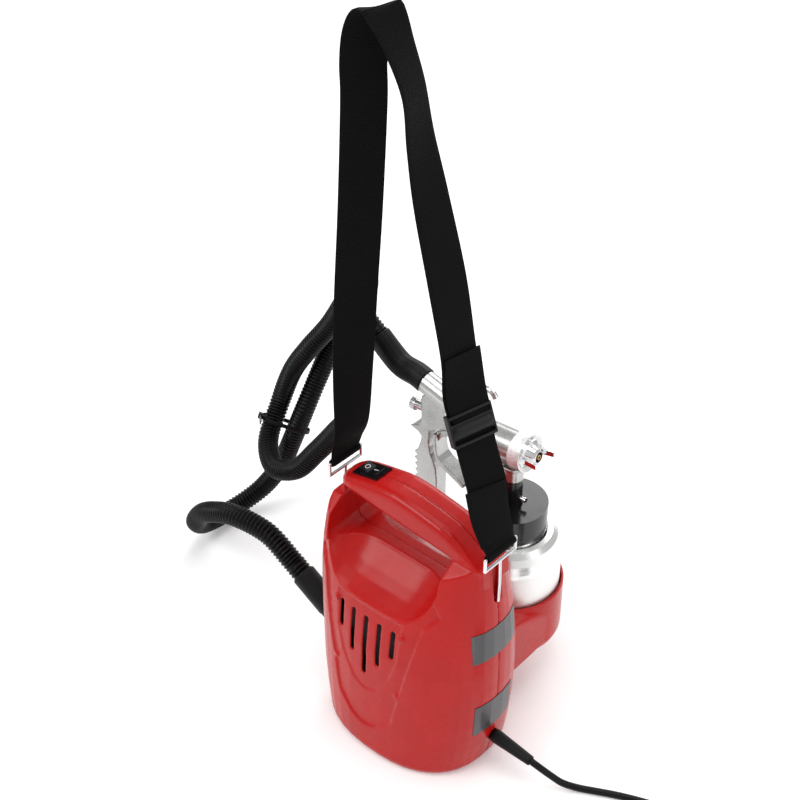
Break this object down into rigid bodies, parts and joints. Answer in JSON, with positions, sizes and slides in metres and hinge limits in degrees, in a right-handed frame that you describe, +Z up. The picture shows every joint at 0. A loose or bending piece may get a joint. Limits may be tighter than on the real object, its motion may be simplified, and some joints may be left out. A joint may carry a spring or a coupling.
{
  "type": "turbine paint sprayer",
  "caption": "Red carry-case turbine paint sprayer with ribbed air hose, spray gun and paint can in a side holder, shoulder strap and coiled mains lead.",
  "frame": {"origin": "middle of the flat base of the carry case, on the surface it stands on", "axes": "+X along the case to the end with the plates and the mains lead, -Y to the flank with the air vents, +Y to the gun holder, +Z up"},
  "size_m": [0.7593, 0.3013, 0.766],
  "materials": {
    "red_shell": "moulded, semi-gloss",
    "zinc_steel": "zinc plated",
    "grey_plate": "satin, blank",
    "black_gloss": "glossy",
    "lead_wire": "wire sleeve",
    "core_steel": "laminated",
    "copper": "copper",
    "cast_frame": "die cast",
    "brass": "turned",
    "carbon": "carbon",
    "bright_steel": "bright",
    "dark_plastic": "moulded",
    "black_rubber": "soft satin",
    "foam": "open-cell foam",
    "hose_plastic": "ribbed, semi-gloss",
    "webbing": "woven webbing",
    "cast_aluminium": "cast, satin",
    "knurled_ring": "knurled, matt",
    "chrome": "polished",
    "polished_can": "polished",
    "can_tube": "drawn tube"
  },
  "bodies": {
    "case": {"vent_side_shell": "red_shell", "holder_side_shell": "red_shell", "shell_screws": "zinc_steel", "upper_plate": "grey_plate", "lower_plate": "grey_plate", "switch_housing": "black_gloss", "switch_leads": "lead_wire", "stator_core": "core_steel", "field_coils": "copper", "lower_end_frame": "cast_frame", "upper_end_frame": "cast_frame", "brush_holders": "brass", "carbon_brushes": "carbon", "motor_screws": "zinc_steel", "bearings": "bright_steel", "fan_housing": "dark_plastic", "fan_cover": "cast_frame", "return_vanes": "dark_plastic", "motor_mounts": "black_rubber", "filter_frame": "dark_plastic", "filter_foam": "foam", "outlet_spigot": "dark_plastic", "case_cuff": "black_rubber", "air_hose": "hose_plastic", "cable_tie": "dark_plastic", "cord_grip": "black_rubber", "cord_clamp": "dark_plastic", "power_cord": "black_rubber", "cord_coil": "black_rubber", "plug_body": "black_rubber", "plug_pins": "bright_steel", "shoulder_strap": "webbing", "strap_buckle": "dark_plastic", "front_strap_hook": "bright_steel", "rear_strap_hook": "bright_steel"},
    "rocker": {"rocker": "black_gloss"},
    "rotor": {"motor_shaft": "bright_steel", "armature_core": "core_steel", "commutator": "copper", "impellers": "cast_frame"},
    "gun": {"gun_body": "cast_aluminium", "hanging_hook": "cast_aluminium", "coupling_nut": "cast_aluminium", "gun_cuff": "black_rubber", "packing_nut": "brass", "needle_spring": "bright_steel", "trigger_pin": "bright_steel", "fluid_nozzle": "brass", "cup_lid": "black_gloss", "lid_gasket": "black_rubber", "riser_tube": "black_gloss", "pressure_nipple": "bright_steel", "pickup_tube": "can_tube"},
    "can": {"paint_can": "polished_can"},
    "ring": {"retaining_ring": "knurled_ring"},
    "air_cap": {"air_cap": "chrome"},
    "trigger": {"trigger": "cast_aluminium"},
    "needle": {"needle": "bright_steel"},
    "knob": {"flow_knob": "bright_steel"}
  },
  "joints": [
    {"name": "rocker_switch", "type": "hinge", "parent": "case", "child": "rocker", "pos_m": [-0.05988, 0, 0.29209], "axis": [0, 1, 0], "range_deg": [-14, 0]},
    {"name": "motor_spin", "type": "hinge", "parent": "case", "child": "rotor", "pos_m": [0.01, 0, 0.1], "axis": [0, 0, 1], "continuous": true},
    {"name": "gun_lift", "type": "slide", "parent": "case", "child": "gun", "axis": [0, 0, 1], "range_m": [0, 0.07], "deforming": ["air_hose"]},
    {"name": "can_turn", "type": "hinge", "parent": "gun", "child": "can", "pos_m": [0.0115, 0.131, 0.1], "axis": [0, 0, 1], "range_deg": [0, 90]},
    {"name": "ring_turn", "type": "hinge", "parent": "gun", "child": "ring", "pos_m": [0.02147, 0.131, 0.28379], "axis": [0.9969, 0, 0.0785], "continuous": true},
    {"name": "air_cap_turn", "type": "hinge", "parent": "gun", "child": "air_cap", "pos_m": [0.02147, 0.131, 0.28379], "axis": [0.9969, 0, 0.0785], "range_deg": [-90, 90]},
    {"name": "trigger_pull", "type": "hinge", "parent": "gun", "child": "trigger", "pos_m": [-0.06636, 0.131, 0.29091], "axis": [0, 1, 0], "range_deg": [0, 6], "stiffness_Nm_per_rad": 0.6, "springref_deg": -17.19},
    {"name": "needle_travel", "type": "slide", "parent": "gun", "child": "needle", "axis": [-0.9969, 0, -0.0785], "range_m": [0, 0.0015]},
    {"name": "flow_knob_turn", "type": "hinge", "parent": "gun", "child": "knob", "pos_m": [-0.10813, 0.131, 0.27359], "axis": [0.9969, 0, 0.0785], "range_deg": [0, 540]}
  ],
  "couplings": [
    {"joint": "needle_travel", "follows": "trigger_pull", "m_per_rad": 0.01405}
  ]
}
